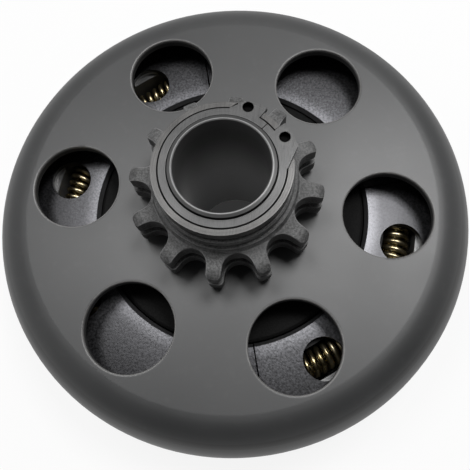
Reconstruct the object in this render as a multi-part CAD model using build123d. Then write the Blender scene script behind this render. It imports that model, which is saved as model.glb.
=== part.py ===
from build123d import *
from math import cos, pi, radians, sin, sqrt, tan
import os

# A small centrifugal clutch for a go-kart, mini bike or garden machine engine.
# Millimetres. Z is the shaft's axis and points out of the drum's face, and the
# origin is in the plane of the drum's open rim, so the clutch stands on z = 0.

# Drum: one pressed steel cup.
drum_radius = 54.0
drum_depth = 27.0
sheet = 2.2
shoulder_radius = 8.6
rim_round = 0.7
hole_count = 6
hole_radius = 9.67
hole_to_shoulder = 0.98
hole_edge = 0.3

# Sprocket: one sintered piece, with a collar in front and a swaged spigot behind.
tooth_count = 12
chain_pitch = 9.525
roller_diameter = 6.35
flank_angle = 18.0
tip_radius = 20.2
tip_round = 0.95
tooth_width = 8.9
tooth_lift = 1.55
tip_bevel = 1.9
tip_drop = 1.3
lower_row_height = 3.1
row_groove_height = 2.2
row_groove_depth = 0.9
lower_row_spread = 0.2
first_tooth = 30.0
base_radius = 14.9
collar_radius = 14.7
collar_step_radius = 14.1
collar_neck_radius = 13.2
collar_base_height = 1.7
collar_height = 4.4
collar_flare = 0.4
collar_groove = 0.35
neck_height = 1.2
spigot_radius = 14.2
swage_radius = 17.0
swage_height = 2.0

# Hub: the turned sleeve on the engine's shaft.
bore_radius = 9.525
sleeve_radius = 10.63
boss_wall = 4.37
bore_edge = 0.2
sleeve_edge_width = 0.8
sleeve_edge_height = 0.22
hub_lip = 0.66
key_width = 4.76
key_depth = 2.4
key_length = 16.0
key_angle = 270.0
rear_setback = 0.6

# Bush, thrust washers and retaining ring.
bush_wall = 1.55
running_fit = 0.03
end_float = 0.1
washer_thickness = 1.1
washer_radius = 13.75
rear_washer_thickness = 1.2
washer_fit = 0.15
lip_gap = 0.12
lip_drop = 0.08
ring_thickness = 1.2
ring_radius = 12.37
ring_bite = 0.5
ring_fit = 0.02
lug_radius = 14.9
lug_hole_radius = 1.05
lug_hole_pitch_radius = 13.35
lug_margin = 0.5
split_width = 0.18
# For each lug: where it starts, where it is at its widest, its plier hole and its end.
lug_angles = ((90.5, 76.0, 74.5, 60.6), (2.5, 21.0, 32.2, 42.3))

# Shoes, spider and what holds them.
shoe_count = 4
first_shoe = 61.0
shoe_setback = 5.3
shoe_width = 16.2
shoe_share = 0.3815
shoe_drum_gap = 0.2
shoe_travel = 1.0
shoe_end_gap = 0.3
shoe_bevel = 0.8
channel_inset = 8.6
channel_breadth = 7.3
channel_skin = 2.0
window_radius = 4.7
window_inset = 12.1
window_angle = 23.3
window_ledge = 0.3
slide_gap = 0.3
arm_width = 3.0
arm_reach = 3.4
arm_setback = 5.0
spider_setback = 0.3
spider_bevel = 0.6
plate_drum_gap = 4.8
plate_thickness = 1.6
rivet_place_share = 0.4
rivet_head_share = 0.24
rivet_shank_share = 0.57
rivet_head_height = 1.4
rivet_tail_height = 0.8

# Garter springs: the outer shape of a close-wound coil.
spring_radius = 3.3
spring_seat = 0.05
spring_gap = 0.3

# Radii and levels that follow from the sizes above.
boss_radius = sleeve_radius + boss_wall
hole_pitch_radius = drum_radius - shoulder_radius - hole_to_shoulder - hole_radius
shoe_outer_radius = drum_radius - sheet - shoe_drum_gap
shoe_inner_radius = shoe_outer_radius - shoe_share * drum_radius
channel_outer_radius = shoe_outer_radius - channel_inset
channel_inner_radius = channel_outer_radius - channel_breadth
window_pitch_radius = shoe_outer_radius - window_inset
plate_radius = drum_radius - sheet - plate_drum_gap
drum_inside = drum_depth - sheet
teeth_bottom = drum_depth + tooth_lift
teeth_top = teeth_bottom + tooth_width
collar_top = teeth_top + collar_height
neck_top = collar_top + neck_height
front_washer_bottom = neck_top + end_float
ring_bottom = front_washer_bottom + washer_thickness
ring_top = ring_bottom + ring_thickness
hub_top = ring_top + hub_lip
swage_bottom = drum_inside - swage_height
boss_top = swage_bottom - end_float - rear_washer_thickness
shoe_top = drum_inside - shoe_setback
shoe_bottom = shoe_top - shoe_width
plate_top = shoe_bottom - slide_gap
plate_bottom = plate_top - plate_thickness
spider_top = shoe_top - spider_setback
arm_top = shoe_top - arm_setback
spider_radius = shoe_inner_radius - slide_gap
rivet_pitch_radius = boss_radius + rivet_place_share * (spider_radius - boss_radius)
rivet_head_radius = rivet_head_share * (spider_radius - boss_radius)
rivet_radius = rivet_shank_share * rivet_head_radius
channel_top = shoe_top - channel_skin
bush_inner_radius = sleeve_radius + running_fit
bush_outer_radius = bush_inner_radius + bush_wall
spring_ring_radius = channel_inner_radius + spring_seat + spring_radius
front_spring_level = channel_top - spring_gap - spring_radius
rear_spring_level = front_spring_level - 2 * spring_radius - spring_gap
pitch_radius = chain_pitch / (2 * sin(pi / tooth_count))


def polar(radius, angle):
    return (radius * cos(radians(angle)), radius * sin(radians(angle)))


def tube(outer, inner, bottom, top):
    """A plain ring between two levels."""
    ring = Circle(outer) - Circle(inner)
    return Pos(0, 0, bottom) * extrude(ring, top - bottom)


def rod(radius, bottom, top):
    return Pos(0, 0, bottom) * extrude(Circle(radius), top - bottom)


def turned(points):
    """A solid of revolution from an outline of (radius, height) points."""
    return revolve(Plane.XZ * make_face(Polyline(points, close=True)), Axis.Z)


def drum():
    """The pressed cup, bent from sheet of one thickness, with its six round holes."""
    flat_radius = drum_radius - shoulder_radius
    inner_bend = shoulder_radius - sheet
    outer_wall = drum_radius
    inner_wall = drum_radius - sheet
    bend_level = drum_depth - shoulder_radius
    outline = [
        Line((spigot_radius, drum_depth), (flat_radius, drum_depth)),
        CenterArc((flat_radius, bend_level), shoulder_radius, 0, 90),
        Line((outer_wall, bend_level), (outer_wall, 0)),
        Line((outer_wall, 0), (inner_wall, 0)),
        Line((inner_wall, 0), (inner_wall, bend_level)),
        CenterArc((flat_radius, bend_level), inner_bend, 0, 90),
        Line((flat_radius, drum_inside), (spigot_radius, drum_inside)),
        Line((spigot_radius, drum_inside), (spigot_radius, drum_depth)),
    ]
    cup = revolve(Plane.XZ * make_face(outline), Axis.Z)
    rim_edges = cup.edges().filter_by(GeomType.CIRCLE).group_by(Axis.Z)[0]
    cup = fillet(rim_edges, rim_round)
    for place in PolarLocations(hole_pitch_radius, hole_count):
        cup -= place * rod(hole_radius, drum_inside - 1, drum_depth + 1)
    holes = [
        edge
        for edge in cup.edges().filter_by(GeomType.CIRCLE)
        if abs(edge.radius - hole_radius) < 0.01 and abs(edge.center().Z - drum_depth) < 0.01
    ]
    return fillet(holes, hole_edge)


def tooth_gap(inset):
    """The space that one chain roller seats in, centred on the X axis and widened by an inset."""
    seat_radius = 0.5025 * roller_diameter + 0.04 + inset
    flank = radians(flank_angle)
    seat_x = pitch_radius - seat_radius * sin(flank)
    seat_y = seat_radius * cos(flank)
    far_x = tip_radius + 2
    far_y = seat_y + (far_x - seat_x) * tan(flank)
    corners = [(seat_x, seat_y), (far_x, far_y), (far_x, -far_y), (seat_x, -seat_y)]
    flare = make_face(Polyline(corners, close=True))
    return Pos(pitch_radius, 0) * Circle(seat_radius) + flare


def tooth_outline(inset):
    """All the teeth in plan, drawn in by an inset, with the tips rounded where there is none."""
    outer = tip_radius - max(inset, 0)
    outline = Circle(outer)
    half_step = 180 / tooth_count
    for index in range(tooth_count):
        gap_angle = first_tooth + half_step + index * 360 / tooth_count
        outline -= Rot(0, 0, gap_angle) * tooth_gap(inset)
    if inset > 0:
        return outline
    tips = [
        corner
        for corner in outline.vertices()
        if abs(sqrt(corner.X**2 + corner.Y**2) - outer) < 0.01
    ]
    return fillet(tips, tip_round)


def sprocket():
    """Twelve teeth in two rows with a groove between them, and tips that are rounded over."""
    groove_bottom = teeth_bottom + lower_row_height
    groove_top = groove_bottom + row_groove_height
    crown = turned([
        (0, teeth_bottom),
        (tip_radius - tip_bevel / 2, teeth_bottom),
        (tip_radius + 0.1, teeth_bottom + tip_drop / 2),
        (tip_radius + 0.1, teeth_top - tip_drop),
        (tip_radius - 0.2 * tip_bevel, teeth_top - 0.5 * tip_drop),
        (tip_radius - 0.55 * tip_bevel, teeth_top - 0.15 * tip_drop),
        (tip_radius - tip_bevel, teeth_top),
        (0, teeth_top),
    ])
    lower_row = extrude(tooth_outline(-lower_row_spread), lower_row_height)
    groove = extrude(tooth_outline(row_groove_depth), row_groove_height)
    upper_row = extrude(tooth_outline(0), teeth_top - groove_top)
    teeth = Pos(0, 0, teeth_bottom) * lower_row
    teeth += Pos(0, 0, groove_bottom) * groove
    teeth += Pos(0, 0, groove_top) * upper_row
    base_top = teeth_top + collar_base_height
    core = turned([
        (0, swage_bottom),
        (swage_radius - 0.6, swage_bottom),
        (swage_radius, swage_bottom + 0.6),
        (swage_radius, drum_inside),
        (spigot_radius, drum_inside),
        (spigot_radius, drum_depth),
        (base_radius, drum_depth),
        (base_radius, teeth_bottom + 1),
        (collar_radius, teeth_bottom + 1),
        (collar_radius, teeth_top - 1),
        (collar_radius + collar_flare, teeth_top - 1),
        (collar_radius + collar_flare, teeth_top),
        (collar_radius, teeth_top + 1.5 * collar_flare),
        (collar_radius, base_top),
        (collar_step_radius - collar_groove, base_top + 0.15),
        (collar_step_radius - collar_groove, base_top + 0.5),
        (collar_step_radius, base_top + 0.65),
        (collar_step_radius, collar_top - 0.3),
        (collar_step_radius - 0.3, collar_top),
        (collar_neck_radius, collar_top),
        (collar_neck_radius, neck_top),
        (0, neck_top),
    ])
    return (teeth & crown) + core - rod(bush_outer_radius, swage_bottom - 1, neck_top + 1)


def bush():
    return tube(bush_outer_radius, bush_inner_radius, swage_bottom, neck_top)


def hub():
    """The sleeve that turns in the bush and the thicker boss that carries the spider."""
    groove_radius = sleeve_radius - ring_bite
    body = turned([
        (bore_radius + 0.6, rear_setback),
        (boss_radius - 0.6, rear_setback),
        (boss_radius, rear_setback + 0.6),
        (boss_radius, boss_top),
        (sleeve_radius, boss_top),
        (sleeve_radius, ring_bottom),
        (groove_radius, ring_bottom),
        (groove_radius, ring_top),
        (sleeve_radius, ring_top),
        (sleeve_radius, hub_top - sleeve_edge_height),
        (sleeve_radius - sleeve_edge_width, hub_top),
        (bore_radius + bore_edge, hub_top),
        (bore_radius, hub_top - bore_edge),
        (bore_radius, rear_setback + 0.6),
    ])
    key_height = bore_radius + key_depth
    keyway = Rot(0, 0, key_angle) * Pos(key_height / 2, 0) * Rectangle(key_height, key_width)
    return body - Pos(0, 0, rear_setback - 1) * extrude(keyway, key_length + 1)


def lug_plan(lug, radius, margin):
    """A lug of the snap ring in plan, out to a radius and wider by a margin in degrees."""
    start, widest, _, end = lug
    turn = margin if end > start else -margin
    middle = (widest + end) / 2
    reach = radius / cos(radians((end - widest) / 2 + turn))
    corners = [
        (0, 0),
        polar(ring_radius, start - turn),
        polar(radius, widest - turn),
        polar(reach, middle),
        polar(radius, end + turn),
    ]
    return make_face(Polyline(corners, close=True)) & Circle(radius)


def thrust_washer_front():
    """A flat washer with a lip round the snap ring, open where the ring's lugs lie."""
    inner = sleeve_radius + washer_fit
    lip = Circle(washer_radius) - Circle(ring_radius + lip_gap)
    for lug in lug_angles:
        lip -= lug_plan(lug, lug_radius + 1, lug_margin)
    washer = tube(washer_radius, inner, front_washer_bottom, ring_bottom)
    return washer + Pos(0, 0, ring_bottom) * extrude(lip, ring_thickness - lip_drop)


def thrust_washer_rear():
    inner = sleeve_radius + washer_fit
    return tube(boss_radius, inner, boss_top, boss_top + rear_washer_thickness)


def retaining_ring():
    """The snap ring, whose two lugs widen away from its split to take pliers."""
    inner = sleeve_radius - ring_bite + ring_fit
    plan = Circle(ring_radius)
    split_angle = (lug_angles[0][3] + lug_angles[1][3]) / 2
    for lug in lug_angles:
        plan += lug_plan(lug, lug_radius, 0)
        hole_x, hole_y = polar(lug_hole_pitch_radius, lug[2])
        plan -= Pos(hole_x, hole_y) * Circle(lug_hole_radius)
    plan -= Circle(inner)
    split = Rot(0, 0, split_angle) * Pos(ring_radius, 0) * Rectangle(lug_radius, split_width)
    return Pos(0, 0, ring_bottom) * extrude(plan - split, ring_thickness)


def shoe(centre_angle):
    """A quarter of the friction ring, drawn with its centre line on the X axis."""
    drum_side = turned([
        (0, shoe_bottom),
        (shoe_outer_radius - shoe_bevel, shoe_bottom),
        (shoe_outer_radius, shoe_bottom + shoe_bevel),
        (shoe_outer_radius, shoe_top - shoe_bevel),
        (shoe_outer_radius - shoe_bevel, shoe_top),
        (0, shoe_top),
    ])
    hub_side = turned([
        (0, shoe_bottom - 1),
        (shoe_inner_radius, shoe_bottom - 1),
        (shoe_inner_radius, shoe_top - shoe_bevel),
        (shoe_inner_radius + shoe_bevel + 1, shoe_top + 1),
        (0, shoe_top + 1),
    ])
    body = Pos(-shoe_travel, 0, 0) * drum_side - hub_side
    body -= tube(channel_outer_radius, channel_inner_radius, shoe_bottom - 1, channel_top)
    half = 180 / shoe_count
    size = 2 * drum_radius
    for side in (1, -1):
        edge = Rot(0, 0, side * half)
        beyond = Pos(0, side * (size / 2 - shoe_end_gap / 2), shoe_bottom)
        body -= edge * beyond * Box(2 * size, size, 4 * shoe_width)
        notch_half = arm_width / 2 + slide_gap
        notch_reach = channel_inner_radius + 0.8
        notch_height = arm_top + slide_gap - (shoe_bottom - 1)
        notch_middle = (arm_top + slide_gap + shoe_bottom - 1) / 2
        notch = Pos(notch_reach / 2, 0, notch_middle) * Box(notch_reach, 2 * notch_half, notch_height)
        body -= edge * notch
        x, y = polar(window_pitch_radius, side * window_angle)
        body -= Pos(x, y, 0) * rod(window_radius, channel_top - window_ledge, shoe_top + 1)
    return Rot(0, 0, centre_angle) * body


def spider():
    """The driver: a thick disc on the hub's boss with an arm between each two shoes."""
    disc = turned([
        (boss_radius, plate_top),
        (spider_radius, plate_top),
        (spider_radius, spider_top - spider_bevel),
        (spider_radius - spider_bevel, spider_top),
        (boss_radius, spider_top),
    ])
    arm_end = spider_radius + arm_reach
    for place in PolarLocations(0, shoe_count, first_shoe + 180 / shoe_count):
        arm_centre = Pos((boss_radius + 2 + arm_end) / 2, 0, (plate_top + arm_top) / 2)
        arm_length = arm_end - boss_radius - 2
        disc += place * arm_centre * Box(arm_length, arm_width, arm_top - plate_top)
    for place in rivet_places():
        disc -= place * rod(rivet_radius, plate_top - 1, spider_top + 1)
    return disc


def guide_plate():
    plate = tube(plate_radius, boss_radius + 2, plate_bottom, plate_top)
    for place in rivet_places():
        plate -= place * rod(rivet_radius, plate_bottom - 1, plate_top + 1)
    return plate


def rivet_places():
    return list(PolarLocations(rivet_pitch_radius, shoe_count, first_shoe))


def rivet(place):
    """A domed head in front and a flat upset tail behind the plate."""
    return place * turned([
        (0, plate_bottom - rivet_tail_height),
        (0.86 * rivet_head_radius, plate_bottom - rivet_tail_height),
        (rivet_head_radius, plate_bottom - 0.2),
        (rivet_head_radius, plate_bottom),
        (rivet_radius, plate_bottom),
        (rivet_radius, spider_top),
        (rivet_head_radius, spider_top),
        (0.88 * rivet_head_radius, spider_top + 0.7 * rivet_head_height),
        (0.55 * rivet_head_radius, spider_top + rivet_head_height),
        (0, spider_top + rivet_head_height),
    ])


def garter_spring(level):
    return Pos(0, 0, level) * Torus(spring_ring_radius, spring_radius)


pieces = {
    "drum": drum(),
    "sprocket": sprocket(),
    "bush": bush(),
    "hub": hub(),
    "thrust_washer_front": thrust_washer_front(),
    "thrust_washer_rear": thrust_washer_rear(),
    "retaining_ring": retaining_ring(),
    "spider": spider(),
    "guide_plate": guide_plate(),
    "garter_spring_front": garter_spring(front_spring_level),
    "garter_spring_rear": garter_spring(rear_spring_level),
}
for number in range(shoe_count):
    pieces[f"shoe_{number + 1}"] = shoe(first_shoe + number * 360 / shoe_count)
    pieces[f"rivet_{number + 1}"] = rivet(rivet_places()[number])

os.makedirs("parts", exist_ok=True)
for name, piece in pieces.items():
    export_step(piece, f"parts/{name}.step")
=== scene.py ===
from math import cos, exp, radians, sin, tau

import bpy
from mathutils import Matrix, Vector


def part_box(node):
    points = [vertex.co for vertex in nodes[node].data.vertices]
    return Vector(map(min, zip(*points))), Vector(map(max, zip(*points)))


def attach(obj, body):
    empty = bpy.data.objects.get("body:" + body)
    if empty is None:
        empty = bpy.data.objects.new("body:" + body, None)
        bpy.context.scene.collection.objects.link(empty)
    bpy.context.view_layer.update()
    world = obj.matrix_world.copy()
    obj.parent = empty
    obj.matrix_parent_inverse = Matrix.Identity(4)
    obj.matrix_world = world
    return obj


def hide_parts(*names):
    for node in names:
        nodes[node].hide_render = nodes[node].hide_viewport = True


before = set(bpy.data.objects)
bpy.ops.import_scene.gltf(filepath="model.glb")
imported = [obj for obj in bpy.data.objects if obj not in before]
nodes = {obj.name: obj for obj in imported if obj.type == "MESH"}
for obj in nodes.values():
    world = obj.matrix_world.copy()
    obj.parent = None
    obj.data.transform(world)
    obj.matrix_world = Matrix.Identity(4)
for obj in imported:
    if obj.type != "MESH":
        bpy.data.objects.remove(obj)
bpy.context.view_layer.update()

MM = 0.001

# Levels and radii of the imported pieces, in metres, and angles about the shaft, in degrees.
drum_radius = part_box("drum")[1][0]
face_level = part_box("drum")[1][2]
hole_radius = 9.67 * MM
hole_pitch_radius = 34.75 * MM
hole_count = 6
shoe_count = 4
shoe_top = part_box("shoe_1")[1][2]
shoe_inner_radius = 31.0 * MM
window_ledge_radius = 42.9 * MM
window_ledge_drop = 1.2 * MM
first_shoe = 61.0
hub_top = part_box("hub")[1][2]
bore_radius = 9.525 * MM
sleeve_radius = 10.63 * MM
ring_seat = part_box("retaining_ring")[0][2]
ring_radius = 12.37 * MM
plier_radius = 13.35 * MM
plier_angles = (74.5, 32.2)
lug_spans = ((2.5, 42.3), (60.6, 90.5))


class Value:
    """A node's output that takes part in Python arithmetic through Math nodes."""

    def __init__(self, finish, output):
        self.finish = finish
        self.output = output

    def calculate(self, operation, *operands):
        sockets = dict(enumerate(operands))
        return self.finish.node("ShaderNodeMath", {"operation": operation}, sockets)

    def __add__(self, other):
        return self.calculate("ADD", self, other)

    def __radd__(self, other):
        return self.calculate("ADD", other, self)

    def __sub__(self, other):
        return self.calculate("SUBTRACT", self, other)

    def __rsub__(self, other):
        return self.calculate("SUBTRACT", other, self)

    def __mul__(self, other):
        return self.calculate("MULTIPLY", self, other)

    def __rmul__(self, other):
        return self.calculate("MULTIPLY", other, self)

    def __truediv__(self, other):
        return self.calculate("DIVIDE", self, other)

    def __rtruediv__(self, other):
        return self.calculate("DIVIDE", other, self)

    def __pow__(self, other):
        return self.calculate("POWER", self, other)

    def __rpow__(self, other):
        return self.calculate("POWER", other, self)


def length(along, across):
    """The length of a step that goes along and across."""
    return (along * along + across * across) ** 0.5


class Finish:
    """A surface finish under construction: one material, or one world, and its nodes."""

    def __init__(self, name, owner=None):
        self.material = owner or bpy.data.materials.new(name)
        self.material.use_nodes = True
        self.tree = self.material.node_tree
        self.tree.nodes.clear()

    def node(self, kind, settings=None, sockets=None, output=0):
        """Adds a node with its settings made first, then its sockets, and gives one output."""
        made = self.tree.nodes.new(kind)
        for key, setting in (settings or {}).items():
            if key == "stops":
                self.set_stops(made.color_ramp, setting)
            else:
                setattr(made, key, setting)
        for key, content in (sockets or {}).items():
            if isinstance(content, Value):
                self.tree.links.new(content.output, made.inputs[key])
            else:
                made.inputs[key].default_value = content
        return Value(self, made.outputs[output]) if made.outputs else None

    def set_stops(self, ramp, stops):
        for element, (place, level) in zip(ramp.elements, stops):
            element.position = place
            element.color = (level, level, level, 1.0)

    def place(self):
        """The point in the piece's own frame, in metres."""
        return self.node("ShaderNodeTexCoord", output="Object")

    def split(self, vector):
        """A vector's X, Y and Z as three values."""
        outputs = self.node("ShaderNodeSeparateXYZ", sockets={"Vector": vector}).output.node.outputs
        return [Value(self, output) for output in outputs]

    def across(self):
        """The point's X and Y."""
        return self.split(self.place())[:2]

    def height(self):
        """The point's level above the bench."""
        return self.split(self.place())[2]

    def radius(self):
        """The point's distance from the shaft's axis."""
        x, y = self.across()
        return length(x, y)

    def noise(self, scale, detail=3.0, roughness=0.55, vector=None, stretch=None):
        source = vector or self.place()
        if stretch:
            source = self.node("ShaderNodeMapping", sockets={"Vector": source, "Scale": stretch})
        sockets = {"Vector": source, "Scale": scale, "Detail": detail, "Roughness": roughness}
        return self.node("ShaderNodeTexNoise", sockets=sockets)

    def ramp(self, value, start, end, low=0.0):
        """A straight rise from low where value is start to 1 where it is end."""
        stops = ((start, low), (end, 1.0))
        return self.node("ShaderNodeValToRGB", {"stops": stops}, {"Fac": value})

    def band(self, value, start, end, low=0.0, high=1.0):
        """A smooth step from low where value is start to high where it is end."""
        sockets = {"Value": value, "From Min": start, "From Max": end, "To Min": low, "To Max": high}
        return self.node("ShaderNodeMapRange", {"interpolation_type": "SMOOTHSTEP"}, sockets)

    def blend(self, amount, first, second):
        """A colour between first and second: a Mix node's colour sockets are 6 and 7, its result is 2."""
        sockets = {0: amount, 6: first, 7: second}
        return self.node("ShaderNodeMix", {"data_type": "RGBA"}, sockets, output=2)

    def bump(self, height, strength, distance, normal=None):
        sockets = {"Strength": strength, "Distance": distance, "Height": height}
        if normal:
            sockets["Normal"] = normal
        return self.node("ShaderNodeBump", sockets=sockets)

    def rounded(self, radius):
        """The surface's direction with its edges rounded over."""
        return self.node("ShaderNodeBevel", {"samples": 8}, {"Radius": radius})

    def edge_wear(self, rounded):
        """1 on the edges that rounding bends, 0 on flat faces."""
        flat = self.node("ShaderNodeNewGeometry", output="Normal")
        sockets = {0: rounded, 1: flat}
        alike = self.node("ShaderNodeVectorMath", {"operation": "DOT_PRODUCT"}, sockets, output="Value")
        return self.band(alike, 0.995, 0.93)

    def finish(self, **sockets):
        """Closes the material with a principled shader."""
        named = {key.replace("_", " "): content for key, content in sockets.items()}
        shader = self.node("ShaderNodeBsdfPrincipled", sockets=named)
        self.node("ShaderNodeOutputMaterial", sockets={"Surface": shader})
        return self.material


def grey(level, warm=0.0):
    """A neutral linear colour, made warmer or cooler by a small share."""
    return (level * (1 + warm), level, level * (1 - warm), 1.0)


def cool_grey(level):
    """A neutral linear colour with a little more blue."""
    return (level * 0.985, level * 0.985, level * 1.05, 1.0)


# Near black, painted as shade in gaps, hollows and holes.
painted_shade_black = grey(0.006)


# Where a point lies on its piece: a distance, and masks from 0 to 1.
def hole_distance(finish):
    """How far a point is from the axis of the nearest of the drum's holes."""
    x, y = finish.across()
    step = tau / hole_count
    angle = y.calculate("ARCTAN2", y, x)
    nearest = (angle / step).calculate("ROUND", angle / step) * step
    turned = angle - nearest
    radius = length(x, y)
    along = radius * turned.calculate("COSINE", turned) - hole_pitch_radius
    across = radius * turned.calculate("SINE", turned)
    return length(along, across)


def near_plier_holes(finish, reach):
    """1 within a reach of the axes of the snap ring's two plier holes."""
    x, y = finish.across()
    masks = []
    for angle in plier_angles:
        along = x - plier_radius * cos(radians(angle))
        across = y - plier_radius * sin(radians(angle))
        masks.append(finish.band(length(along, across), reach + 0.06 * MM, reach))
    first, second = masks
    return first.calculate("MAXIMUM", first, second)


def within_angles(finish, start, end):
    """1 where a point's direction from the shaft's axis lies between two angles in degrees."""
    middle = radians((start + end) / 2)
    half = radians((end - start) / 2)
    x, y = finish.across()
    towards = (x * cos(middle) + y * sin(middle)) / length(x, y)
    return finish.band(towards, cos(half), cos(half * 0.95))


# Textures that several turned pieces share.
def ring_lines(finish):
    """Noise that only changes with the radius and the height, as a lathe tool leaves it."""
    sockets = {"X": finish.radius(), "Y": finish.height()}
    place = finish.node("ShaderNodeCombineXYZ", sockets=sockets)
    return finish.noise(5000.0, 2.0, 0.5, place)


def turned_mix(finish, lines):
    """Half fine lathe rings, half broad patches."""
    patches = finish.noise(130.0, 2.0)
    return finish.ramp(lines, 0.3, 0.7) * 0.5 + finish.ramp(patches, 0.3, 0.7) * 0.5


# The finishes, one function each.
def drum_finish():
    """Satin black oxide over pressed steel, with a painted highlight on the rims of its holes and painted
    shade inside.
    """
    f = Finish("drum_black_oxide")
    cloud = f.noise(28.0, 3.0)
    grain = f.noise(2600.0, 2.0, 0.7)
    scuff = f.ramp(f.noise(420.0, 4.0, 0.6), 0.56, 0.78)
    height = f.height()
    hole = hole_distance(f)
    near_hole = f.band(hole, hole_radius + 0.40 * MM, hole_radius + 0.20 * MM)
    on_face = f.band(height, face_level - 1.0 * MM, face_level - 0.6 * MM)
    hole_wall = f.band(hole, hole_radius + 0.10 * MM, hole_radius + 0.04 * MM) * (1 - on_face)
    below_face = f.band(height, face_level - 2.0 * MM, face_level - 2.15 * MM)
    behind_wall = f.band(f.radius(), drum_radius - 1.9 * MM, drum_radius - 2.1 * MM)
    shade = f.blend(f.ramp(cloud, 0.3, 0.7), grey(0.020, -0.04), grey(0.030, -0.02))
    shade = f.blend(scuff * 0.3, shade, grey(0.05))
    # Painted highlight on the rims of the holes.
    shade = f.blend(near_hole * on_face * 0.65, shade, grey(0.20, 0.02))
    shade = f.blend(hole_wall * 0.85, shade, grey(0.02))
    # Painted shade inside the drum, under the face and behind the wall.
    shade = f.blend(below_face * behind_wall * 0.7, shade, painted_shade_black)
    return f.finish(
        Base_Color=shade,
        Roughness=f.band(cloud, 0.3, 0.7, 0.42, 0.48) + hole_wall * 0.25,
        Specular_IOR_Level=0.75,
        Normal=f.bump(grain, 0.10, 0.00006, f.rounded(0.5 * MM)),
    )


def sinter_finish(name, dark, pale, rough, metal, gloss, edge=0.0, holes=0.0):
    """Pressed and sintered steel: matte and porous, with rubbed edges, or painted shade around the plier
    holes, where asked for.
    """
    f = Finish(name)
    pores = f.noise(2400.0, 3.0, 0.7)
    patches = f.noise(260.0, 3.0)
    mix = f.ramp(pores, 0.40, 0.62) * 0.65 + f.ramp(patches, 0.38, 0.62) * 0.35
    shade = f.blend(mix, dark, pale)
    rounded = f.rounded(0.45 * MM)
    if edge:
        wear = f.edge_wear(rounded) * f.ramp(f.noise(420.0, 3.0), 0.35, 0.65, 0.2)
        shade = f.blend(wear * edge, shade, grey(0.26))
    if holes:
        # Painted shade where the plier holes look down onto the piece.
        painted_shade = near_plier_holes(f, holes)
        shade = f.blend(painted_shade, shade, painted_shade_black)
        metal = metal + painted_shade * (1 - metal)
    return f.finish(
        Base_Color=shade,
        Roughness=f.band(patches, 0.3, 0.7, rough - 0.04, rough + 0.05),
        Metallic=metal,
        Specular_IOR_Level=gloss,
        Normal=f.bump(pores, 0.4, 0.00012, rounded),
    )


def shoe_finish():
    """Sintered friction metal with a painted sheen, paler towards the edge next to the spider; painted shade
    on its sides and a painted lit strip on the window ledge.
    """
    f = Finish("shoe_sinter")
    pores = f.noise(1800.0, 3.0, 0.75)
    patches = f.noise(180.0, 2.0)
    height = f.height()
    radius = f.radius()
    near = f.band(radius, shoe_inner_radius + 4.2 * MM, shoe_inner_radius + 0.9 * MM)
    wide = f.band(radius, shoe_inner_radius + 13.0 * MM, shoe_inner_radius + 1.0 * MM)
    past_ledge = f.band(radius, window_ledge_radius - 0.1 * MM, window_ledge_radius + 0.1 * MM)
    sides = f.band(height, shoe_top - 0.03 * MM, shoe_top - 0.15 * MM) * (1 - past_ledge)
    ledge_level = shoe_top - window_ledge_drop
    ledge = past_ledge * f.band(height, ledge_level, ledge_level - 0.1 * MM)
    mix = f.ramp(pores, 0.38, 0.64) * 0.9 + f.ramp(patches, 0.3, 0.7) * 0.1
    dull = f.blend(mix, cool_grey(0.012), cool_grey(0.044))
    # Painted sheen: the paler colour towards the edge next to the spider.
    painted_sheen = f.blend(mix, cool_grey(0.09), cool_grey(0.24))
    shade = f.blend(wide * 0.3 + near * 0.5, dull, painted_sheen)
    # Painted shade on the shoe's sides below its face.
    shade = f.blend(sides * 0.9, shade, grey(0.003))
    # Painted light on the window ledge.
    shade = f.blend(ledge, shade, grey(0.24))
    return f.finish(
        Base_Color=shade,
        Roughness=f.band(pores, 0.3, 0.7, 0.32, 0.44) + sides * 0.3,
        Metallic=0.75 - sides * 0.5,
        Normal=f.bump(pores, 0.35, 0.0001),
    )


def turned_finish(name, dark, pale, rough):
    """Metal turned on a lathe: fine rings about the shaft's axis."""
    f = Finish(name)
    lines = ring_lines(f)
    return f.finish(
        Base_Color=f.blend(turned_mix(f, lines), dark, pale),
        Roughness=f.band(lines, 0.3, 0.7, rough - 0.05, rough + 0.05),
        Metallic=0.6,
        Normal=f.bump(lines, 0.35, 0.00003),
    )


def hub_finish(dark, pale):
    """Turned steel with a painted highlight on the bored edge, a dull bore painted paler deeper down to lift
    its shade, and painted shade on the outer wall where the snap ring sits.
    """
    f = Finish("hub_turned")
    height = f.height()
    radius = f.radius()
    lines = ring_lines(f)
    inside = f.band(radius, bore_radius + 0.06 * MM, bore_radius + 0.02 * MM)
    top = f.band(height, hub_top - 0.35 * MM, hub_top - 0.15 * MM)
    rim = f.band(radius, bore_radius + 0.52 * MM, bore_radius + 0.24 * MM) * top
    outside = f.band(radius, sleeve_radius - 0.16 * MM, sleeve_radius - 0.10 * MM)
    depth = f.band(height, hub_top - 4.0 * MM, hub_top - 26.0 * MM)
    # The bore is painted paler deeper down: painted light that lifts its shade.
    bore = f.blend(depth, grey(0.12), grey(0.6))
    shade = f.blend(inside, f.blend(turned_mix(f, lines), dark, pale), bore)
    # Painted highlight on the bored edge.
    shade = f.blend(rim, shade, grey(0.24))
    # Painted shade on the outer wall, in the seam with the snap ring.
    shade = f.blend(outside, shade, painted_shade_black)
    return f.finish(
        Base_Color=shade,
        Roughness=f.band(lines, 0.3, 0.7, 0.36, 0.46) + inside * 0.15 + outside * 0.3,
        Metallic=0.6 + outside * 0.4,
        Normal=f.bump(lines, 0.35, 0.00003),
    )


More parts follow.
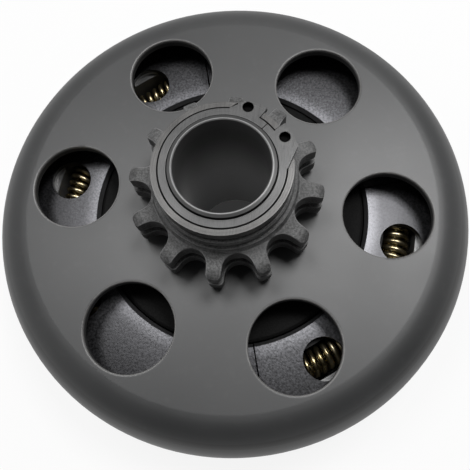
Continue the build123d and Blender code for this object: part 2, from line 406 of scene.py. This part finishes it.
def ring_finish(name, dark, pale, seams, holes):
    """A flat ring of steel with rubbed streaks, and painted shade in its seams and plier holes.

    Each seam has a radius, half a breadth and the spans of angle where it is missing.
    """
    f = Finish(name)
    radius = f.radius()
    streaks = f.noise(300.0, 4.0, 0.6, stretch=(14.0, 1.2, 1.0))
    patches = f.noise(110.0, 2.0)
    mix = f.ramp(streaks, 0.32, 0.68) * 0.5 + f.ramp(patches, 0.3, 0.7) * 0.5
    # Painted shade in the plier holes and along the seams.
    painted_shade = near_plier_holes(f, holes)
    for seam, breadth, missing in seams:
        away = radius.calculate("ABSOLUTE", radius - seam)
        line = f.band(away, breadth, breadth * 0.6)
        for start, end in missing:
            line = line * (1 - within_angles(f, start, end))
        painted_shade = painted_shade.calculate("MAXIMUM", painted_shade, line)
    return f.finish(
        Base_Color=f.blend(painted_shade, f.blend(mix, dark, pale), painted_shade_black),
        Roughness=f.band(streaks, 0.3, 0.7, 0.31, 0.41) + painted_shade * 0.3,
        Metallic=0.6 + painted_shade * 0.4,
        Normal=f.bump(ring_lines(f), 1.0, 0.00005),
    )


def wire_finish():
    """Bright yellow-passivated spring wire."""
    f = Finish("spring_wire")
    patches = f.noise(260.0, 3.0)
    shade = f.blend(f.ramp(patches, 0.35, 0.65), (0.30, 0.24, 0.12, 1.0), (0.56, 0.49, 0.33, 1.0))
    return f.finish(
        Base_Color=shade,
        Roughness=f.band(patches, 0.3, 0.7, 0.24, 0.34),
        Metallic=1.0,
        Normal=f.bump(f.noise(3000.0), 0.05, 0.00004),
    )


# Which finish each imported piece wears.
def dress(names, material):
    for name in names:
        slots = nodes[name].data.materials
        if not slots:
            slots.append(material)
        for index in range(len(slots)):
            slots[index] = material


shoes = [f"shoe_{number + 1}" for number in range(shoe_count)]
rivets = [f"rivet_{number + 1}" for number in range(shoe_count)]
lip_radius = ring_radius + 0.06 * MM
lip_half_breadth = 0.20 * MM
# The seams are dark lines of painted shade between neighbouring pieces.
hub_seam = (sleeve_radius, 0.22 * MM, ())
lip_seam = (lip_radius, lip_half_breadth, ())
lip_seam_between_lugs = (lip_radius, lip_half_breadth, lug_spans)
dark_steel = grey(0.045)
pale_steel = grey(0.084)
dark_washer = grey(0.045, 0.02)
pale_washer = grey(0.105, 0.02)
dark_bronze = (0.30, 0.18, 0.08, 1.0)
pale_bronze = (0.46, 0.30, 0.14, 1.0)

# The sprocket gets painted shade where it is seen through the snap ring's plier holes.
sprocket_sinter = sinter_finish(
    "sprocket_sinter", grey(0.028), grey(0.135), rough=0.56, metal=0.25, gloss=0.5, edge=0.75, holes=1.9 * MM
)
# The spider is painted near black as shade.
spider_painted_shade = sinter_finish("spider_painted_shade", grey(0.003), grey(0.009), rough=0.8, metal=0.0, gloss=0.15)
washer_front = ring_finish("washer_front", dark_washer, pale_washer, (lip_seam,), 1.6 * MM)
ring_steel = ring_finish("ring_steel", dark_steel, pale_steel, (hub_seam, lip_seam_between_lugs), 1.1 * MM)
spring_wire = wire_finish()

dress(["drum", "guide_plate"], drum_finish())
dress(["sprocket"], sprocket_sinter)
dress(["spider"], spider_painted_shade)
dress(shoes, shoe_finish())
dress(["hub"], hub_finish(dark_steel, pale_steel))
dress(["bush"], turned_finish("bush_bronze", dark_bronze, pale_bronze, 0.4))
dress(["thrust_washer_front"], washer_front)
dress(["thrust_washer_rear"], turned_finish("washer_rear", grey(0.20), grey(0.32), 0.4))
dress(["retaining_ring"], ring_steel)
dress(rivets, turned_finish("rivet_steel", grey(0.05), grey(0.12), 0.45))


def place_piece(name, verts, faces, material):
    """A new piece made of the given faces."""
    mesh = bpy.data.meshes.new(name)
    mesh.from_pydata(verts, [], faces)
    mesh.materials.append(material)
    piece = bpy.data.objects.new(name, mesh)
    bpy.context.scene.collection.objects.link(piece)
    return piece


# Garter springs: close coils bent round into a ring, one quarter in each shoe.
wire_radius = 0.62 * MM
wire_sides = 8
coil_pitch = 1.75 * MM
turn_segments = 14
hook_angle = radians(129.0)
hook_spread = radians(6.0)
hook_waist = 0.30


def ring_point(ring_radius, level, turn_radius, around, phase):
    """A point of the coil: around is the place on the ring, phase the place in the turn.

    The coil narrows where its two ends are hooked together.
    """
    from_hook = (around - hook_angle) / hook_spread
    turn_radius *= 1 - hook_waist * exp(-from_hook * from_hook)
    reach = ring_radius + turn_radius * cos(phase)
    return Vector((reach * cos(around), reach * sin(around), level + turn_radius * sin(phase)))


def wire_piece(name, path):
    """A round wire through the points of a path, closed at both ends."""
    verts = []
    faces = []
    hint = None
    for index, point in enumerate(path):
        before = path[max(index - 1, 0)]
        after = path[min(index + 1, len(path) - 1)]
        along = (after - before).normalized()
        if hint is None:
            hint = along.orthogonal()
        side = (hint - along * hint.dot(along)).normalized()
        other = along.cross(side)
        hint = side
        for corner in range(wire_sides):
            angle = tau * corner / wire_sides
            verts.append(point + wire_radius * (cos(angle) * side + sin(angle) * other))
    for index in range(len(path) - 1):
        for corner in range(wire_sides):
            first = index * wire_sides + corner
            second = index * wire_sides + (corner + 1) % wire_sides
            faces.append((first, second, second + wire_sides, first + wire_sides))
    last = (len(path) - 1) * wire_sides
    faces.append(tuple(reversed(range(wire_sides))))
    faces.append(tuple(range(last, last + wire_sides)))
    piece = place_piece(name, verts, faces, spring_wire)
    piece.data.polygons.foreach_set("use_smooth", [True] * len(piece.data.polygons))
    return piece


def coil_quarter(node, number):
    """The quarter of a garter spring that lies in one shoe."""
    low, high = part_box(node)
    level = (low[2] + high[2]) / 2
    turn_radius = (high[2] - low[2]) / 2 - wire_radius
    ring_radius = (high[0] - low[0]) / 2 - turn_radius - wire_radius
    turns = round(tau * ring_radius / coil_pitch / shoe_count)
    steps = turns * turn_segments
    start = radians(first_shoe) + (number - 0.5) * tau / shoe_count
    path = []
    for step in range(steps + 1):
        around = start + tau / shoe_count * step / steps
        phase = tau * turns * step / steps
        path.append(ring_point(ring_radius, level, turn_radius, around, phase))
    piece = wire_piece(f"{node}_coil_{number + 1}", path)
    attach(piece, f"shoe_{number + 1}_body")
    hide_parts(node)


for node in ("garter_spring_front", "garter_spring_rear"):
    for number in range(shoe_count):
        coil_quarter(node, number)


# Two dark discs in the front washer's finish, painted shade that closes the snap ring's plier holes from
# below.
shade_disc_radius = 1.3 * MM
shade_disc_top = ring_seat - 0.05 * MM
shade_disc_bottom = ring_seat - 0.35 * MM
shade_disc_sides = 24


def plier_hole_shade_disc(name, angle):
    """A thin disc under the plier hole at an angle."""
    verts = []
    for level in (shade_disc_bottom, shade_disc_top):
        middle = Vector((plier_radius * cos(angle), plier_radius * sin(angle), level))
        for side in range(shade_disc_sides):
            turn = tau * side / shade_disc_sides
            verts.append(middle + shade_disc_radius * Vector((cos(turn), sin(turn), 0)))
    faces = []
    for side in range(shade_disc_sides):
        following = (side + 1) % shade_disc_sides
        faces.append((side, following, following + shade_disc_sides, side + shade_disc_sides))
    faces.append(tuple(reversed(range(shade_disc_sides))))
    faces.append(tuple(range(shade_disc_sides, 2 * shade_disc_sides)))
    shade_disc = place_piece(name, verts, faces, washer_front)
    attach(shade_disc, "hub_assembly")


for number, angle in enumerate(plier_angles):
    plier_hole_shade_disc(f"plier_hole_shade_disc_{number + 1}", radians(angle))


# Studio: a white table, two soft boxes overhead and quiet surroundings.
table_reach = 3.0
table_paint = grey(0.85)
# Painted shadow under the drum.
table_painted_shadow = grey(0.02)
soft_box_tilt = radians(22.0)
soft_box_distance = 0.50
soft_box_size = (0.16, 0.14)


def table_finish():
    """A white table whose shadows stay, with a painted shadow under the drum and a faint painted glow under
    the bore.

    The camera, mirrored rays and rays through glass see it nearly white.
    """
    f = Finish("white_table")
    radius = f.radius()
    # Painted shadow: the patch under the drum.
    under = f.band(radius, drum_radius - 1 * MM, drum_radius - 2 * MM)
    # Painted glow: a faint white seen under the bore.
    painted_glow_under_bore = f.band(radius, bore_radius + 2 * MM, bore_radius + 1 * MM)
    paint = f.node("ShaderNodeBsdfDiffuse", sockets={"Color": table_paint})
    shade = f.node("ShaderNodeBsdfDiffuse", sockets={"Color": table_painted_shadow})
    matte = f.node("ShaderNodeMixShader", sockets={0: under, 1: paint, 2: shade})
    white = f.node("ShaderNodeEmission", sockets={"Color": grey(1.0), "Strength": 1.0})
    camera_ray = f.node("ShaderNodeLightPath", output="Is Camera Ray")
    glossy_ray = f.node("ShaderNodeLightPath", output="Is Glossy Ray")
    through_ray = f.node("ShaderNodeLightPath", output="Is Transmission Ray")
    seen = camera_ray.calculate("MAXIMUM", camera_ray, glossy_ray * 0.9)
    seen = seen.calculate("MAXIMUM", seen, through_ray)
    share = seen * (0.88 * (1 - under) + 0.03 * painted_glow_under_bore)
    both = f.node("ShaderNodeMixShader", sockets={0: share, 1: matte, 2: white})
    f.node("ShaderNodeOutputMaterial", sockets={"Surface": both})
    return f.material


def table():
    """A square table at the level of the drum's rim."""
    corners = [(x * table_reach, y * table_reach, 0) for x, y in ((-1, -1), (1, -1), (1, 1), (-1, 1))]
    place_piece("table", corners, [(0, 1, 2, 3)], table_finish())


def surroundings(overhead, sides, front):
    """The room's greys: overhead, low down at the sides and the back, and low down in front.

    The camera itself sees white.
    """
    world = bpy.data.worlds.new("studio")
    f = Finish("studio", world)
    aside, forward, height = f.split(f.node("ShaderNodeTexCoord", output="Generated"))
    at_back = f.band(forward - aside * 0.35, -0.56, -0.20) * f.band(height, 0.97, 0.55)
    at_front = f.band(forward, -0.3, -0.7) * f.band(height, 0.60, 0.35)
    light = f.blend(at_back, grey(overhead), grey(sides))
    light = f.blend(at_front, light, grey(front))
    camera_ray = f.node("ShaderNodeLightPath", output="Is Camera Ray")
    light = f.blend(camera_ray, light, grey(1.0))
    glow = f.node("ShaderNodeBackground", sockets={"Color": light, "Strength": 1.0})
    f.node("ShaderNodeOutputWorld", sockets={"Surface": glow})
    bpy.context.scene.world = world


def soft_box(name, azimuth, power):
    """A soft lamp overhead that faces the drum, tilted from the vertical towards an azimuth."""
    lamp = bpy.data.lights.new(name, "AREA")
    lamp.shape = "RECTANGLE"
    lamp.size, lamp.size_y = soft_box_size
    lamp.energy = power
    holder = bpy.data.objects.new(name, lamp)
    lean = sin(soft_box_tilt)
    away = Vector((lean * cos(azimuth), lean * sin(azimuth), cos(soft_box_tilt)))
    holder.location = Vector((0, 0, face_level)) + away * soft_box_distance
    holder.rotation_euler = away.to_track_quat("Z", "Y").to_euler()
    bpy.context.scene.collection.objects.link(holder)


table()
surroundings(overhead=0.04, sides=0.62, front=0.25)
soft_box("soft_box_right", radians(52.0), 1.50)
soft_box("soft_box_left", radians(145.0), 0.78)


# The photograph's camera: where it stands, where it looks and what is up.
camera_place = Vector((13.01, -41.37, 142.23)) * MM
camera_aim = Vector((2.40, -7.93, 27.0)) * MM
camera_up = Vector((-0.0970, 0.9534, 0.2856))
camera_lens = 42.59
sensor_width = 36.0

camera = bpy.data.cameras.new("camera")
camera.lens = camera_lens
camera.sensor_width = sensor_width
camera.clip_start = 0.005
viewer = bpy.data.objects.new("camera", camera)
bpy.context.scene.collection.objects.link(viewer)
look = (camera_aim - camera_place).normalized()
right = look.cross(camera_up).normalized()
up = right.cross(look)
viewer.matrix_world = Matrix.Translation(camera_place) @ Matrix((right, up, -look)).transposed().to_4x4()
bpy.context.scene.camera = viewer

bpy.context.scene.view_settings.view_transform = "Standard"
